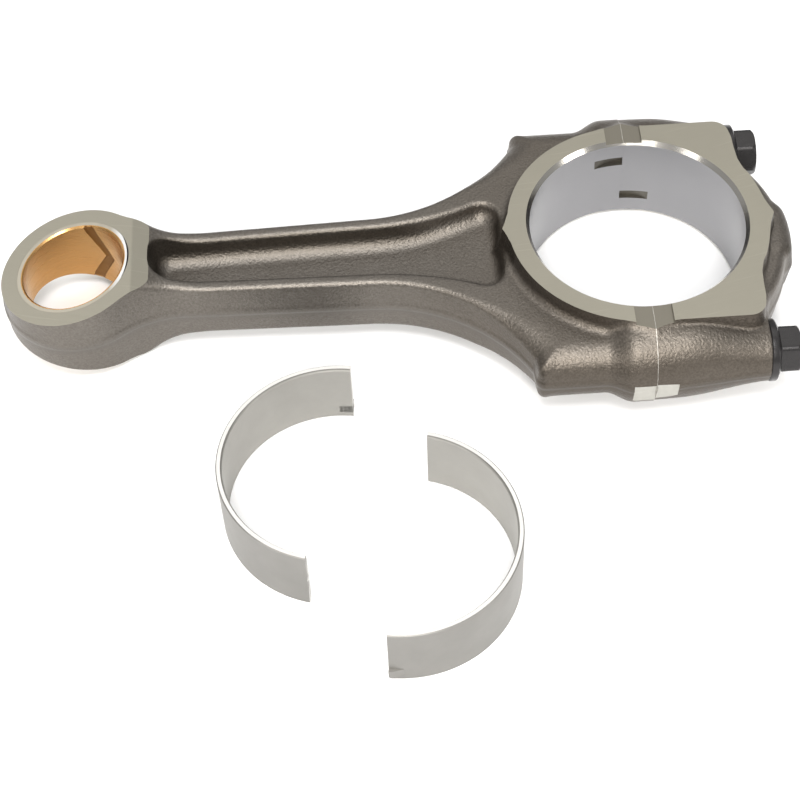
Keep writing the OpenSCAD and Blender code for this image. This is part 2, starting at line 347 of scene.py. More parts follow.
def node(tree, kind, inputs=None, **settings):
    """A node with its inputs linked to sockets or set to values."""
    n = tree.nodes.new(kind)
    for k, v in settings.items():
        setattr(n, k, v)
    for k, v in (inputs or {}).items():
        if isinstance(v, bpy.types.NodeSocket):
            tree.links.new(v, n.inputs[k])
        else:
            n.inputs[k].default_value = v
    return n


def place(tree):
    """Position on the piece in millimetres."""
    where = node(tree, "ShaderNodeTexCoord")
    scale = node(tree, "ShaderNodeVectorMath", {0: where.outputs["Object"]}, operation="SCALE")
    scale.inputs["Scale"].default_value = 1 / MM
    return scale.outputs[0]


def noise(tree, vector, scale, detail=2.0, roughness=0.5, stretch=None):
    if stretch:
        vector = node(tree, "ShaderNodeVectorMath", {0: vector, 1: stretch},
                      operation="MULTIPLY").outputs[0]
    n = node(tree, "ShaderNodeTexNoise", {"Vector": vector, "Scale": scale, "Detail": detail,
                                          "Roughness": roughness})
    return n.outputs["Fac"]


def ramp(tree, value, stops):
    """Colour from a value, through (position, colour) stops."""
    n = node(tree, "ShaderNodeValToRGB", {"Fac": value})
    band = n.color_ramp
    while len(band.elements) < len(stops):
        band.elements.new(0.5)
    for element, (pos, colour) in zip(band.elements, stops):
        element.position = pos
        element.color = (*colour, 1)
    return n.outputs["Color"]


def maths(tree, operation, a, b=0.0, c=0.0):
    n = node(tree, "ShaderNodeMath", {0: a, 1: b, 2: c}, operation=operation)
    return n.outputs[0]


def blend(tree, factor, a, b, kind="MIX"):
    """Mixes colour b into colour a."""
    n = node(tree, "ShaderNodeMix", data_type="RGBA", blend_type=kind)
    for socket, value in ((n.inputs[0], factor), (n.inputs[6], a), (n.inputs[7], b)):
        if isinstance(value, bpy.types.NodeSocket):
            tree.links.new(value, socket)
        else:
            socket.default_value = value if isinstance(value, float) else (*value, 1)
    return n.outputs[2]


def bump(tree, height, strength, distance, under=None):
    """Normal bent by a height, with its distance in millimetres, on top of another bump."""
    n = node(tree, "ShaderNodeBump",
             {"Height": height, "Strength": strength, "Distance": distance * MM})
    if under is not None:
        tree.links.new(under, n.inputs["Normal"])
    return n.outputs["Normal"]


def link(tree, bsdf, **sockets):
    """Sets or links the shader's sockets."""
    for name, value in sockets.items():
        socket = bsdf.inputs[name.replace("_", " ")]
        if isinstance(value, bpy.types.NodeSocket):
            tree.links.new(value, socket)
        else:
            socket.default_value = value


def split_line(tree, where, colour, rough):
    """Painted highlight: brightens the broken edge along the split at X = 0."""
    painted_split_highlight, half_width = (0.55, 0.53, 0.49), 0.10
    x = node(tree, "ShaderNodeSeparateXYZ", {0: where}).outputs["X"]
    wander = maths(tree, "MULTIPLY_ADD", noise(tree, where, 0.9, 3.0), 0.36, -0.18)
    off = maths(tree, "ABSOLUTE", maths(tree, "ADD", x, wander))
    mask = maths(tree, "LESS_THAN", off, half_width)
    uneven = maths(tree, "MULTIPLY_ADD", noise(tree, where, 0.5, 2.0), 1.2, 0.1)
    mask = maths(tree, "MULTIPLY", mask, uneven)
    return (blend(tree, mask, colour, painted_split_highlight),
            maths(tree, "MULTIPLY_ADD", mask, 0.15, rough))


def forged(tree, bsdf):
    """Shot-blasted forging: peened grain, smoother on the sheared land, faint rust freckles, and a
    darker, browner big end; painted shade darkens the steep walls of the pocket and of the big end."""
    grain_low, grain_high = (0.126, 0.114, 0.100), (0.190, 0.174, 0.156)
    cloud_tint, land_tint = (0.112, 0.099, 0.084), (0.128, 0.118, 0.106)
    rust = (0.085, 0.062, 0.045)
    # Of these tints, the big end one is a tone of the forging; the pocket and wall ones are painted
    # shade.
    big_end_scale, painted_pocket_shade = (0.92, 0.895, 0.865), (0.50, 0.48, 0.45)
    painted_wall_shade = (0.70, 0.68, 0.66)
    p = place(tree)
    axes = node(tree, "ShaderNodeSeparateXYZ", {0: p}).outputs
    off_land = maths(tree, "ABSOLUTE", maths(tree, "ADD", axes["Z"], 1.6))
    land = maths(tree, "SUBTRACT", 1.0, maths(
        tree, "SMOOTH_MIN", maths(tree, "MULTIPLY", off_land, 0.30), 1.0, 0.2))
    grain = noise(tree, p, 1.3, 3.0, 0.60)
    pits = node(tree, "ShaderNodeTexVoronoi", {"Vector": p, "Scale": 0.95}, feature="F1")
    pits = pits.outputs["Distance"]
    broad = noise(tree, p, 0.06, 4.0, 0.6)
    fine = noise(tree, p, 3.4, 2.0)
    shear = noise(tree, p, 1.6, 2.0, 0.5, (1.0, 1.0, 0.06))
    colour = ramp(tree, grain, [(0.34, grain_low), (0.66, grain_high)])
    colour = blend(tree, maths(tree, "MULTIPLY", broad, 0.6), colour, cloud_tint)
    colour = blend(tree, maths(tree, "MULTIPLY", land, 0.6), colour, land_tint)
    freckle = ramp(tree, noise(tree, p, 0.42, 3.0, 0.7), [(0.68, BLACK), (0.76, WHITE)])
    colour = blend(tree, maths(tree, "MULTIPLY", freckle, 0.45), colour, rust)
    big_end = ramp(tree, maths(tree, "MULTIPLY_ADD", axes["X"], 0.008, 0.64),
                   [(0.0, BLACK), (0.4, WHITE), (0.93, WHITE), (0.98, (0.3, 0.3, 0.3))])
    colour = blend(tree, big_end, colour, big_end_scale, "MULTIPLY")
    # Painted shade: steep walls, found by the normal, are darkened inside the pocket and on the big
    # end.
    normal_z = node(tree, "ShaderNodeSeparateXYZ",
                    {0: node(tree, "ShaderNodeNewGeometry").outputs["Normal"]}).outputs["Z"]
    steep = ramp(tree, maths(tree, "ABSOLUTE", normal_z), [(0.50, WHITE), (0.97, BLACK)])
    inside = ramp(tree, maths(tree, "MULTIPLY", maths(tree, "ABSOLUTE", axes["Y"]), 0.05),
                  [(0.52, WHITE), (0.62, BLACK)])
    for mask, tint in ((inside, painted_pocket_shade), (big_end, painted_wall_shade)):
        colour = blend(tree, maths(tree, "MULTIPLY", steep, mask), colour, tint, "MULTIPLY")
    rough = maths(tree, "MULTIPLY_ADD", grain, 0.20, 0.31)
    # painted highlight along the broken edge of the split
    colour, rough = split_line(tree, p, colour, rough)
    peened = maths(tree, "SUBTRACT", 1.0, maths(tree, "MULTIPLY", land, 0.8))
    normal = bump(tree, maths(tree, "MULTIPLY", pits, peened), 0.6, 0.12)
    normal = bump(tree, maths(tree, "MULTIPLY", grain, peened), 0.9, 0.22, normal)
    normal = bump(tree, maths(tree, "MULTIPLY", shear, land), 0.5, 0.12, normal)
    normal = bump(tree, fine, 0.4, 0.05, normal)
    link(tree, bsdf, Base_Color=colour, Roughness=rough, Normal=normal, Metallic=0.92)


def shade(tint, share):
    return tuple(c * share for c in tint)


def milled(tint, rough0, centre):
    """Ground steel with fine curved tool marks that run around a distant wheel centre."""
    def build(tree, bsdf):
        p = place(tree)
        arm = node(tree, "ShaderNodeVectorMath", {0: p, 1: centre}, operation="SUBTRACT").outputs[0]
        reach = node(tree, "ShaderNodeVectorMath", {0: arm}, operation="LENGTH").outputs["Value"]
        along = node(tree, "ShaderNodeSeparateXYZ", {0: p}).outputs["X"]
        path = node(tree, "ShaderNodeCombineXYZ",
                    {0: reach, 1: maths(tree, "MULTIPLY", along, 0.03)}).outputs[0]
        marks = noise(tree, path, 2.2, 3.0, 0.6)
        broad = noise(tree, p, 0.035, 3.0, 0.55)
        patch = noise(tree, p, 0.16, 3.0, 0.6)
        scratch = ramp(tree, noise(tree, path, 1.1, 1.0), [(0.66, BLACK), (0.70, WHITE)])
        colour = tint
        for mask, strength, share in ((broad, 0.9, 0.84), (patch, 0.3, 0.88), (scratch, 0.2, 1.25)):
            mask = maths(tree, "MULTIPLY", mask, strength)
            colour = blend(tree, mask, colour, shade(tint, share))
        rough = maths(tree, "MULTIPLY_ADD", marks, 0.14, rough0)
        # painted highlight along the broken edge of the split
        colour, rough = split_line(tree, p, colour, rough)
        link(tree, bsdf, Base_Color=colour, Roughness=rough, Normal=bump(tree, marks, 0.35, 0.03),
             Metallic=1.0)
    return build


def bored(tint, rough0):
    """Bored or honed wall: fine rings around the axis of a bore."""
    def build(tree, bsdf):
        p = place(tree)
        rings = noise(tree, p, 1.0, 3.0, 0.5, (0.05, 0.05, 9.0))
        broad = noise(tree, p, 0.05, 2.0)
        colour = blend(tree, maths(tree, "MULTIPLY", broad, 0.8), tint, shade(tint, 0.88))
        rough = maths(tree, "MULTIPLY_ADD", rings, 0.10, rough0)
        link(tree, bsdf, Base_Color=colour, Roughness=rough, Normal=bump(tree, rings, 0.15, 0.02),
             Metallic=1.0)
    return build


def plain_metal(tint, rough0, scale=0.5, strength=0.1, metallic=1.0):
    """Metal with an even, slightly clouded finish: its least roughness, the scale of the clouds and
    the strength of the fine bump."""
    def build(tree, bsdf):
        p = place(tree)
        cloud = noise(tree, p, scale, 4.0, 0.6)
        fine = noise(tree, p, scale * 9, 2.0)
        colour = blend(tree, maths(tree, "MULTIPLY", cloud, 0.7), tint, shade(tint, 0.75))
        rough = maths(tree, "MULTIPLY_ADD", cloud, 0.14, rough0)
        link(tree, bsdf, Base_Color=colour, Roughness=rough,
             Normal=bump(tree, fine, strength, 0.04), Metallic=metallic)
    return build


def bush_end(tree, bsdf):
    """Steel of the bush, ground with the face and brighter where the full width is left."""
    p = place(tree)
    x = node(tree, "ShaderNodeSeparateXYZ", {0: p}).outputs["X"]
    bright = node(tree, "ShaderNodeMapRange", {0: x, 1: -179.0, 2: -175.5}).outputs[0]
    colour = blend(tree, bright, (0.37, 0.34, 0.28), (0.66, 0.66, 0.66))
    cloud = noise(tree, p, 0.4, 3.0)
    link(tree, bsdf, Base_Color=colour, Roughness=maths(tree, "MULTIPLY_ADD", cloud, 0.12, 0.26),
         Normal=bump(tree, noise(tree, p, 3.0, 2.0), 0.1, 0.03), Metallic=1.0)


MAT = {
    "forged": material("forged_steel", forged),
    "face": material("ground_face", milled((0.345, 0.325, 0.268), 0.34, (-60, 330, 0))),
    "relief": material("milled_relief", milled((0.235, 0.218, 0.180), 0.38, (-300, 0, 0))),
    "bore": material("bored_wall", bored((0.290, 0.288, 0.296), 0.26)),
    "chamfer": material("turned_chamfer", plain_metal((0.52, 0.50, 0.46), 0.10, 0.25, 0.05)),
    # The notch's dark tint is painted shade inside the tang slot.
    "notch": material("milled_notch_painted_shade", plain_metal((0.16, 0.15, 0.13), 0.42)),
    "fracture": material("fracture_face", plain_metal((0.36, 0.35, 0.33), 0.44, 1.4, 0.9)),
    "seat": material("spot_face", plain_metal((0.42, 0.40, 0.35), 0.28)),
    "mark": material("ground_spot", plain_metal((0.50, 0.49, 0.45), 0.44, 0.5, 0.2)),
    "thread": material("tapped_thread", plain_metal((0.30, 0.29, 0.27), 0.34)),
    "bush": material("bush_steel", bush_end),
    "bronze": material("bush_bronze", bored((0.53, 0.31, 0.122), 0.22)),
    "groove": material("bush_groove", plain_metal((0.26, 0.135, 0.045), 0.45, 0.5, 0.2)),
    "oxide": material("black_oxide", plain_metal((0.045, 0.043, 0.043), 0.22, 0.6, 0.25, 0.8)),
    "shell": material("shell_back", plain_metal((0.262, 0.255, 0.240), 0.42, 0.06, 0.06)),
    "lining": material("shell_lining", plain_metal((0.355, 0.346, 0.323), 0.48, 0.05, 0.06)),
    "edge": material("shell_edge", plain_metal((0.60, 0.59, 0.565), 0.42, 0.3, 0.05, 0.3)),
}

# ---------------------------------------------------------------- forgings

# Neck beside the small end, where the shank starts
NECK_R, SHANK_HALF = 35.0, 13.5
NECK_X = -CENTRE + math.sqrt((SMALL_R + NECK_R) ** 2 - (SHANK_HALF + NECK_R) ** 2)
NECK_ANGLE = math.degrees(math.atan2(SHANK_HALF + NECK_R, NECK_X + CENTRE))
# Flare towards the big end
FLARE_X, FLARE_R, FLARE_HALF = -93.0, 61.0, 15.2
# Ramp from the shoulder of the small end down to the flanges
RAMP_X, RAMP_RUN, RAMP_DROP = -165.6, 19.6, SHOULDER_Z - FLANGE_Z
RAMP_R = (RAMP_RUN**2 + RAMP_DROP**2) / (2 * RAMP_DROP)
# Pocket of the I-section
RIB, CORNER_R, POCKET_FLARE_R, POCKET_END_X = 5.0, 6.6, 104, -46.2

rod_plan = Plan(
    arc(-CENTRE, 0, SMALL_R, 180, NECK_ANGLE, 32)
    + arc(NECK_X, SHANK_HALF + NECK_R, NECK_R, 180 + NECK_ANGLE, 270, 16)
    + arc(FLARE_X, FLARE_HALF + FLARE_R, FLARE_R, 270, 332, 32)
    + arc(-35.6, 51.0, 3.2, 158, 92, 8)
    + [(8, 54.2)],
    (-224, -4), (14, 64))


def pocket_half(x):
    """Half width of the pocket along the shank."""
    t = (x - NECK_X) / (FLARE_X - NECK_X)
    return SHANK_HALF + (FLARE_HALF - SHANK_HALF) * t - RIB


pocket_plan = Plan(
    [(RAMP_X + 0.3, 0.0)]
    + arc(RAMP_X + 6.9, pocket_half(NECK_X) - CORNER_R, CORNER_R, 180, 90, 10)
    + [(FLARE_X, pocket_half(FLARE_X))]
    + arc(FLARE_X, pocket_half(FLARE_X) + POCKET_FLARE_R, POCKET_FLARE_R, 270, 292, 12)
    + arc(-52.8, 11.7, CORNER_R, 75, 0, 10)
    + [(POCKET_END_X, 0.0)],
    (-176, -4), (-30, 34))

cap_plan = Plan(
    [(-8, 44.0), (31.2, 44.0)] + arc(31.4, 38.4, 5.6, 90, 12, 10)
    + [(37.5, 36), (37.6, 31), (38.0, 25.5), (39.3, 20.8), (40.7, 18.4), (42.0, 14.0), (44.2, 5.2),
       (45.3, 2.4), (46.0, 0.0)],
    (-14, -4), (56, 58))


def flange_height(x):
    """Height of the forged top surface along the rod."""
    run = np.clip(RAMP_X + RAMP_RUN - x, 0, None)
    rise = RAMP_R - np.sqrt(np.maximum(RAMP_R**2 - np.minimum(run, RAMP_RUN) ** 2, 0))
    return FLANGE_Z + rise + 0.57 * np.clip(run - RAMP_RUN, 0, 5)


def ring_field(x, ay, az, tip):
    """Raised ring around the housing bore, with the small point on its centre line."""
    draft = 0.085 * (FACE_Z - az)
    ring = np.hypot(x, ay) - RING_R - draft
    point = smax((ay + 2.0 * (tip * x - RING_R - 2.0)) / 2.236, ay - 6.0, 1.0) - draft
    return smax(smin(ring, point, 1.6), az - FACE_Z - 0.9, 0.4)


def apex_field(x, ay, az):
    """Ridge that joins the ring to the boss at the split."""
    slope = (ay - 46.6 + 0.44 * np.abs(x)) * 0.74 + (az - RELIEF_Z) * 0.67
    return smax(smax(slope, np.abs(x) - 9.0, 0.8), np.abs(ay - 44.0) - 4.5, 0.8)


def boss_field(ay, az, a_y, a_z):
    """Bolt boss with an elliptic outer side, upright towards the bore."""
    return ellipse(np.maximum(ay - BOLT_Y, 0), az, a_y, a_z)


def parting(az):
    """Trimmed flash land around the forging at mid thickness."""
    return 0.26 * (1 - step(1.1, 1.8, az))


def rod_field(x, y, z):
    """Unmachined forging of the rod, negative inside."""
    ay, az = np.abs(y), np.abs(z)
    edge = 1.7 + 3.4 * step(-60, -40, x) + 3.6 * step(-44, -32, x) + 1.2 * (1 - step(-166, -150, x))
    shank = step(-192, -146, x)
    wall = rod_plan(x, ay) + (0.03 + 0.055 * shank) * az - 0.8 * shank - parting(az) + 0.31
    beam = smax(wall, az - flange_height(x), edge)
    pocket_floor = WEB_Z + 2.0 * step(-78, -50, x) - az
    pocket = smax(pocket_plan(x, ay) + 0.15 * (FLANGE_Z - az), pocket_floor, 4.6)
    beam = smax(beam, -pocket, 0.5 + 1.2 * step(-164, -152, x))
    boss = smax(boss_field(ay, az, 13.4, 16.2) - parting(az) + 0.39, -(x + 11.0), 5.0)
    boss = smax(boss, 38.0 - ay, 3.0)
    body = smin(beam, boss, 5.5)
    body = smin(body, ring_field(x, ay, az, -1), 2.8)
    return smin(body, apex_field(x, ay, az), 1.6)


def cap_field(x, y, z):
    """Unmachined forging of the cap, negative inside."""
    ay, az = np.abs(y), np.abs(z)
    rho = np.hypot(x, y)
    block = smax(cap_plan(x, ay) - 0.10 * (FACE_Z - az), az - FACE_Z - 0.9, 0.4)
    strap = smax(rho - (51.4 - 0.07 * az) - parting(az), az - 11.0, 3.2)
    pad = smax(smax(rho - (54.0 - 0.16 * az), ay - 11.0, 3.0), az - 10.0, 2.5)
    a_y = 13.4 - 3.1 * step(0, 42, x)
    a_z = 16.2 - 5.5 * step(10, 40, x)
    boss = smax(boss_field(ay, az, a_y, a_z) - parting(az) + 0.39, x - SEAT_X - 0.8, 1.3)
    body = smin(strap, pad, 3.0)
    body = smin(body, boss, 3.0)
    body = smin(body, block, 1.0)
    body = smin(body, ring_field(x, ay, az, 1), 1.0)
    return smin(body, apex_field(x, ay, az), 1.6)


def fracture_height(y, z):
    """Broken face of the split, the same on both halves."""
    rng = np.random.RandomState(11)
    total = np.zeros(np.broadcast(y, z).shape)
    for wave in (14.0, 6.0, 2.6):
        for _ in range(5):
            angle, phase = rng.uniform(0, TAU, 2)
            along = y * math.cos(angle) + z * math.sin(angle)
            total += wave**0.7 * np.sin(along * TAU / wave + phase)
    return total * 0.011


def fracture_tool(side):
    """Solid on one side of the broken face."""
    ys, zs = np.linspace(-64, 64, 129), np.linspace(-22, 22, 45)
    yy, zz = np.meshgrid(ys, zs, indexing="ij")
    near = np.stack([fracture_height(yy, zz) + side * 0.02, yy, zz], -1).reshape(-1, 3)
    far = near.copy()
    far[:, 0] = side * 90
    nz, n = len(zs), len(near)
    verts = np.vstack([near, far])
    faces = []
    for i in range(len(ys) - 1):
        for j in range(nz - 1):
            a, b, c, d = i * nz + j, (i + 1) * nz + j, (i + 1) * nz + j + 1, i * nz + j + 1
            faces += [(a, d, c, b), (n + a, n + b, n + c, n + d)]
    rim = ([i * nz for i in range(len(ys))] + [(len(ys) - 1) * nz + j for j in range(1, nz)]
           + [i * nz + nz - 1 for i in range(len(ys) - 2, -1, -1)] + list(range(nz - 2, 0, -1)))
    faces += [(rim[k], rim[(k + 1) % len(rim)], n + rim[(k + 1) % len(rim)], n + rim[k])
              for k in range(len(rim))]
    if side < 0:
        faces = [f[::-1] for f in faces]
    return verts, faces


def thread_rows(low, high, crest, depth, start=None, n=64, offset=0.0):
    """Rows of a right-hand M12 thread along X. start is the radius of a chamfered low end."""
    t = np.arange(n) * TAU / n + offset
    rows = []
    for x in np.arange(low, high + 1e-6, PITCH / 12):
        phase = (x / PITCH - t / TAU) % 1.0
        shape = np.clip(np.abs(phase - 0.5) * 2 * 1.35 - 0.2, 0, 1)
        fade = np.interp(x, [low, low + 1.5, high - 1.5, high], [1.0, 1.0, 1.0, 0.35])
        r = crest - depth * fade * shape
        if start is not None:
            r = np.minimum(r, start + (x - low))
        rows.append(np.stack([np.full(n, x), r * np.cos(t), r * np.sin(t)], 1))
    return rows


def machine_common(obj, side):
    """Fracture, faces, relief, chamfers, bore, ground spot and tang notch of one half. side is 1
    for the cap and -1 for the rod."""
    relief_low, relief_high = -6.2, 6.3
    spot_length = 7.4
    cut(obj, fracture_tool(-side), MAT["fracture"])
    for up in (1, -1):
        low, high = sorted((up * FACE_Z, up * 30))
        cut(obj, box((-FAR, -FAR, low), (FAR, FAR, high)), MAT["face"])
    for up in (1, -1):
        low, high = sorted((up * RELIEF_Z, up * ABOVE))
        cut(obj, box((relief_low, -FAR, low), (relief_high, FAR, high)), MAT["relief"])
    core, mouth = HOUSING_R - 2, FACE_Z - CHAMFER_Z
    beyond = mouth + 3 * CHAMFER_Z
    for up in (1, -1):
        profile = [(core, up * (mouth - 0.01)), (HOUSING_R, up * mouth),
                   (HOUSING_R + 3 * CHAMFER_R, up * beyond), (core, up * (beyond + 1))]
        cut(obj, turned(profile if up > 0 else profile[::-1], n=256), MAT["chamfer"])
    cut(obj, turned([(HOUSING_R, -ABOVE), (HOUSING_R, ABOVE)], n=256), MAT["bore"])
    spot = [(-57.95, 1.7), (-56.3, -10.4), (-75, -10.4), (-75, 1.7)]
    low, high = sorted((0, side * spot_length))
    verts, faces = prism(spot, low, high)
    verts = np.stack([verts[:, 2], verts[:, 0], verts[:, 1]], 1)
    cut(obj, (verts, [f[::-1] for f in faces]), MAT["mark"])
    # The tang notch takes the dark notch material, which paints the shade inside the slot.
    notch_r, notch_depth, notch_half = 17.7, 1.7, 1.9
    circle = arc(0, HOUSING_R + notch_depth - notch_r, notch_r, 0, 360, 128)[:-1]
    notch_z = -side * TANG_Z
    cut(obj, prism(circle, notch_z - notch_half, notch_z + notch_half), MAT["notch"])


verts, quads = surface_nets(rod_field, (-219, -60, -19.5), (3, 60, 19.5), GRID)
rod = new_object("rod_forging_visual", verts, quads, MAT["forged"])
machine_common(rod, -1)
key_end, key_start = -240, -150
for up in (1, -1):
    keystone = [(key_end, SHOULDER_Z - KEY_SLOPE * (KEY_X - key_end)), (KEY_X, SHOULDER_Z),
                (key_start, SHOULDER_Z), (key_start, ABOVE), (key_end, ABOVE)]
    keystone = [(x, up * h) for x, h in keystone]
    cut(rod, prism(keystone if up > 0 else keystone[::-1], -40, 40, axis=1), MAT["face"])
cut(rod, turned([(BUSH_R, -ABOVE), (BUSH_R, ABOVE)], (-CENTRE, 0, 0)), MAT["bore"])
for y in (-BOLT_Y, BOLT_Y):
    rows = [row + np.array([0, y, 0]) for row in thread_rows(-33, 2, TAP_R, 0.72)]
    cut(rod, rows_mesh(rows), MAT["thread"])
crease(rod)

verts, quads = surface_nets(cap_field, (-3, -60, -19.5), (55, 60, 19.5), GRID)
cap = new_object("bearing_cap_visual", verts, quads, MAT["forged"])
machine_common(cap, 1)
for y in (-BOLT_Y, BOLT_Y):
    cut(cap, turned([(CLEARANCE_R, -4), (CLEARANCE_R, 45)], (0, y, 0), "x", 96), MAT["thread"])
    spot_face = [(SPOT_R - 0.6, SEAT_X), (SPOT_R, SEAT_X + 0.6), (SPOT_R, 58)]
    cut(cap, turned(spot_face, (0, y, 0), "x", 128), MAT["seat"])
crease(cap)

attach(rod, "rod")
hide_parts("rod_forging")
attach(cap, "cap")
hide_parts("bearing_cap")

# ---------------------------------------------------------------- bush


def key_height(x):
    """Half width of the small end at x, between its two faces."""
    return np.minimum(SHOULDER_Z, SHOULDER_Z - KEY_SLOPE * (KEY_X - x))


def bush_ring(name, inner, outer, inner_edge, lead, groove, mat):
    """Tube whose ends follow the keystone faces. Its lead-in chamfer starts at the height lead, so
    it is left only where the faces rise above that. groove is the depth of the oil groove in its
    wall."""
    n, m, span = 384, 72, 10
    s = np.arange(n)
    dip = np.sqrt(np.clip(1 - ((s - n / 2) / span) ** 2, 0, 1))

    def columns(z):
        """Angles of the mesh columns, set so that the chevron groove always fills the same ones."""
        centre = np.radians(np.interp(z, [-16, -12.5, -6, 0, 6, 12.5, 16],
                                      [74, 71, 62, 52.5, 62.5, 71, 74]))
        half, middle = 1.95 / PIN_R, math.radians(62.5)
        return np.interp(s, [0, n / 2 - span, n / 2 + span, n],
                         [middle - math.pi, centre - half, centre + half, middle + math.pi])

    def height(r, t):
        return key_height(-CENTRE + r * np.cos(t))

    def row(r, z, t):
        return np.stack([-CENTRE + r * np.cos(t), r * np.sin(t), z], 1)

    t = columns(16.0)
    lead_in = np.maximum(height(outer, t) - lead, 0.02)
    top, shoulder, lip = height(outer, t), height(outer - lead_in, t), height(inner + inner_edge, t)
    rows = [row(outer, 3 * lead_in - top, t), row(outer, top - 3 * lead_in, t),
            row(outer - lead_in, shoulder, t), row(inner + inner_edge, lip, t)]
    for k in range(m + 1):
        share = 1 - 2 * k / m
        t = columns((SHOULDER_Z - inner_edge) * share)
        rows.append(row(inner + groove * dip, (height(inner, t) - inner_edge) * share, t))
    t = columns(-16.0)
    rows += [row(inner + inner_edge, -lip, t), row(outer - lead_in, -shoulder, t)]
    verts, faces = rows_mesh(rows, ring=True)
    obj = new_object(name, verts, faces, mat)
    if groove:
        obj.data.materials.append(MAT["groove"])
        for k in range(4, 4 + m):  # the wall's rows come after 4 rows of the outside and the rim
            for i in range(n // 2 - span, n // 2 + span):
                obj.data.polygons[k * n + i].material_index = 1
    crease(obj, 24)
    return obj


for name, sizes, mat, slot, cad in (
        ("bush_steel_back_visual", (BRONZE_R, BUSH_R - 0.02, 0.02, 15.95, 0.0),
         "bush", "bush_steel", "bush_steel_back"),
        ("bush_bronze_lining_visual", (PIN_R, BRONZE_R - 0.02, 0.55, 20.0, 0.5),
         "bronze", "bush_bronze", "bush_bronze_lining")):
    piece = bush_ring(name, *sizes, MAT[mat])
    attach(piece, "rod")
    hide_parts(cad)

# ---------------------------------------------------------------- cap bolts


def hexagon(t, turn, flats, corner):
    """Radius at angle t of a hexagon, with its corners softly held to the radius corner."""
    a = (t - turn + math.pi / 6) % (math.pi / 3) - math.pi / 6
    flat = flats / 2 / np.cos(math.pi / 6 - np.abs(a))
    k = 0.35
    h = np.clip(0.5 + 0.5 * (corner - flat) / k, 0, 1)
    return corner * (1 - h) + flat * h - k * h * (1 - h)


def cap_bolt(name, y, turn):
    """Cap bolt: cut thread, waisted shank, flange, and a chamfered hexagon turned by an angle."""
    n = 144
    turn = math.radians(turn - 90)
    t = np.arange(n) * TAU / n + turn
    rows = []

    def ring(x, r):
        r = np.broadcast_to(r, t.shape)
        rows.append(np.stack([np.full(n, float(x)), y + r * np.cos(t), r * np.sin(t)], 1))

    for x, r in ((-27.8, 2.2), (-27.8, 3.9), (-27.4, 4.6)):
        ring(x, r)
    for row in thread_rows(-27.3, -1.2, 5.96, 0.68, start=4.7, n=n, offset=turn):
        rows.append(row + np.array([0, y, 0]))
    for x, r in ((-0.4, 5.3), (0.6, 5.1), (28.6, 5.1), (29.6, 5.5), (30.2, 5.95), (37.3, 5.95),
                 (38.0, 6.15), (38.2, 6.6), (38.2, 9.9), (38.35, 10.2), (38.6, 10.4), (40.3, 10.4),
                 (40.6, 10.3), (40.8, 10.05), (41.5, 8.7)):
        ring(x, r)
    head = hexagon(t, turn, 15.0, 8.45)
    foot, chamfer_x = 41.5, 47.0
    ring(foot, np.minimum(head + 0.25, 8.6))
    ring(foot + 0.25, head)
    for x in (42.5, 44.0, 45.5, 46.6, 47.0, 47.4, 47.7, 48.0, 48.25, 48.45, 48.6):
        cone = 8.62 - 1.25 * max(0.0, (x - chamfer_x) / 1.7) ** 1.6
        ring(x, np.minimum(head, cone))
    for x, r in ((48.7, 7.0), (48.7, 6.4), (48.55, 6.1), (48.45, 5.7), (48.45, 2.0), (48.3, 1.2)):
        ring(x, r)
    verts, faces = rows_mesh(rows)
    obj = new_object(name, verts, faces, MAT["oxide"])
    crease(obj, 26)
    return obj


for name, y, turn, body, cad in (
        ("front_cap_bolt_visual", -BOLT_Y, 37, "front_bolt", "front_cap_bolt"),
        ("rear_cap_bolt_visual", BOLT_Y, 31, "rear_bolt", "rear_cap_bolt")):
    piece = cap_bolt(name, y, turn)
    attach(piece, body)
    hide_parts(cad)

# ---------------------------------------------------------------- half-shells

SHELL_R, SHELL_WALL, LINING, SHELL_W = 37.8, 2.0, 0.3, 26.0
SHELL_HALF = math.radians(90 * HOUSING_R / SHELL_R)
TANG_LOW, TANG_W = SHELL_W / 2 - TANG_Z - 1.7, 3.4


def sector(section, start, span, n):
    """Closed solid: a section of (radius, height) points swept through an angle."""
    rows = []
    for a in np.linspace(start, start + span, n + 1):
        rows.append([(r * math.cos(a), r * math.sin(a), h) for r, h in section])
    return rows_mesh(rows)


def tang(base, rise):
    """Pressed tang: full height at the joint face, running out along the shell."""
    rows = []
    span = math.radians(7.4)
    low, z0, z1 = base - 1.2, TANG_LOW, TANG_LOW + TANG_W
    for k in range(13):
        a = -0.03 + (span + 0.03) * k / 12
        out = base + rise * min(1.0, max(0.0, 1.25 * (1 - max(a, 0) / span))) - 0.02
        rows.append([(r * math.cos(a), r * math.sin(a), h)
                     for r, h in ((low, z0), (out, z0), (out, z1), (low, z1))])
    return rows_mesh(rows)


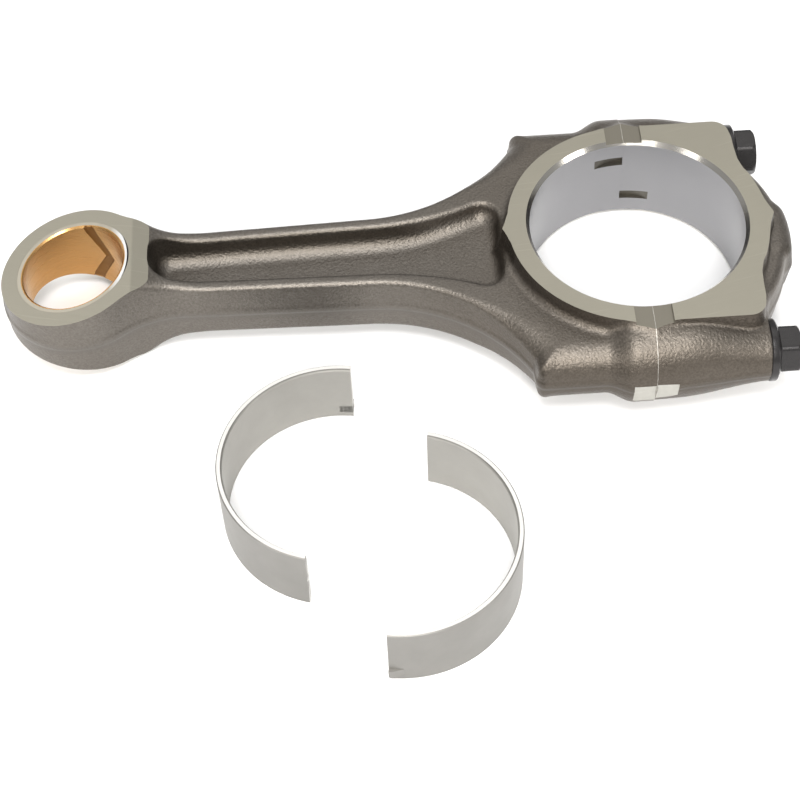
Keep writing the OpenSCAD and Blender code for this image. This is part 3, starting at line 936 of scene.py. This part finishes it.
def half_shell(side, place_xy, heading):
    """One half-shell, standing on its edge on the floor, with its crown towards the heading."""
    outer, mid, inner = SHELL_R, SHELL_R - SHELL_WALL + LINING, SHELL_R - SHELL_WALL
    w, full, c = SHELL_W, 2 * SHELL_HALF, 0.35
    n = 180
    wall = [TANG_LOW * k / 2 for k in (1, 2)] + [TANG_LOW + TANG_W + 2.4 * k for k in range(8)]
    steel = ([(mid, 0.45), (mid + 0.25, 0.0), (outer - c, 0.0), (outer, c)]
             + [(outer, h) for h in wall]
             + [(outer, w - c), (outer - c, w), (mid + 0.25, w), (mid, w - 0.45)])
    lining = ([(inner, 0.9), (mid - 0.01, 0.47), (mid - 0.01, w - 0.47), (inner, w - 0.9)]
              + [(inner, h) for h in reversed(wall)])
    back = new_object(f"{side}_shell_steel_back_visual", *sector(steel, 0, full, n), MAT["shell"])
    skin = new_object(f"{side}_shell_bearing_lining_visual", *sector(lining, 0, full, n),
                      MAT["lining"])
    cut(back, tang(outer, 1.1), MAT["shell"], "UNION")
    keep = [(outer - 9, -1), (outer + 5, -1), (outer + 5, w + 1), (outer - 9, w + 1)]
    cut(back, sector(keep, 0, full, n), MAT["edge"], "INTERSECT")
    cut(back, box((-60, -60, 0.02), (60, 60, w - 0.02)), MAT["edge"], "INTERSECT")
    for piece in (back, skin):
        cut(piece, tang(inner, 1.0), MAT["edge"])
    spin = Matrix.Translation(Vector((*place_xy, -FACE_Z)) * MM) @ Matrix.Rotation(
        math.radians(heading) - SHELL_HALF, 4, "Z")
    for piece, slot, cad in ((back, "shell_back", "steel_back"),
                             (skin, "shell_lining", "bearing_lining")):
        piece.data.transform(spin)
        crease(piece, 26)
        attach(piece, f"{side}_shell")
        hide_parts(f"{side}_shell_{cad}")


half_shell("left", (-106.3, -83.7), 166.8)
half_shell("right", (-86.8, -111.3), -13.2)

# ---------------------------------------------------------------- stage, light and camera

CAM_RIGHT = Vector((0.99789, -0.05799, -0.02922))
CAM_DOWN = Vector((-0.06395, -0.79911, -0.59777))
CAM_FORWARD = Vector((0.01131, 0.59838, -0.80114))
CAM_PLACE = Vector((-91.43, -434.18, 506.40)) * MM


def studio():
    """Pale floor, soft lights and the camera."""
    scene = bpy.context.scene
    reach, height = 3000, -FACE_Z - 0.02
    corners = [(x, y, height)
               for x, y in ((-reach, -reach), (reach, -reach), (reach, reach), (-reach, reach))]
    floor = new_object("studio_floor", corners, [(0, 1, 2, 3)], smooth=False)

    def pale(tree, bsdf):
        p = place(tree)
        tone = ramp(tree, noise(tree, p, 0.01, 2.0),
                    [(0.3, (0.86, 0.86, 0.86)), (0.7, (0.88, 0.88, 0.88))])
        link(tree, bsdf, Base_Color=tone, Roughness=0.75)
        bsdf.inputs["Specular IOR Level"].default_value = 0.2

    floor.data.materials.append(material("pale_floor", pale))
    world = bpy.data.worlds.new("studio")
    scene.world = world
    world.use_nodes = True
    back = world.node_tree.nodes["Background"]
    back.inputs["Color"].default_value = (1, 1, 1, 1)
    back.inputs["Strength"].default_value = 0.5

    def softbox(name, place_mm, target_mm, size, glow, colour=(1, 1, 1)):
        """Rectangular lamp of a size in millimetres, as bright per area as glow says."""
        data = bpy.data.lights.new(name, "AREA")
        data.shape, data.size, data.size_y = "RECTANGLE", size[0] * MM, size[1] * MM
        data.energy, data.color = glow * math.pi * data.size * data.size_y, colour
        lamp = bpy.data.objects.new(name, data)
        at = Vector(place_mm) * MM
        lamp.location = at
        lamp.rotation_euler = (Vector(target_mm) * MM - at).to_track_quat("-Z", "Y").to_euler()
        scene.collection.objects.link(lamp)

    warm, warmer = (1.0, 0.99, 0.97), (1.0, 0.98, 0.95)
    softbox("top_right", (300, 700, 1150), (40, 60, 0), (1060, 900), 1.1, warm)
    softbox("top_left", (-900, 700, 1050), (-160, 40, 0), (800, 900), 1.5, warm)
    softbox("overhead", (-60, -430, 1280), (-60, -60, 0), (700, 460), 13.0)
    softbox("front", (-110, -930, 800), (-30, -40, 0), (560, 290), 26.0, warmer)
    softbox("right", (900, -590, 330), (0, 0, 0), (330, 300), 9.0, warmer)
    softbox("left", (-900, -660, 350), (-30, 0, 0), (330, 300), 9.0, warmer)

    data = bpy.data.cameras.new("camera")
    data.sensor_width, data.lens = 36.0, 86.8
    data.clip_start, data.clip_end = 0.01, 20
    camera = bpy.data.objects.new("camera", data)
    camera.matrix_world = Matrix((
        (CAM_RIGHT.x, -CAM_DOWN.x, -CAM_FORWARD.x, CAM_PLACE.x),
        (CAM_RIGHT.y, -CAM_DOWN.y, -CAM_FORWARD.y, CAM_PLACE.y),
        (CAM_RIGHT.z, -CAM_DOWN.z, -CAM_FORWARD.z, CAM_PLACE.z),
        (0, 0, 0, 1)))
    scene.collection.objects.link(camera)
    scene.camera = camera
    scene.view_settings.view_transform = "Standard"


studio()
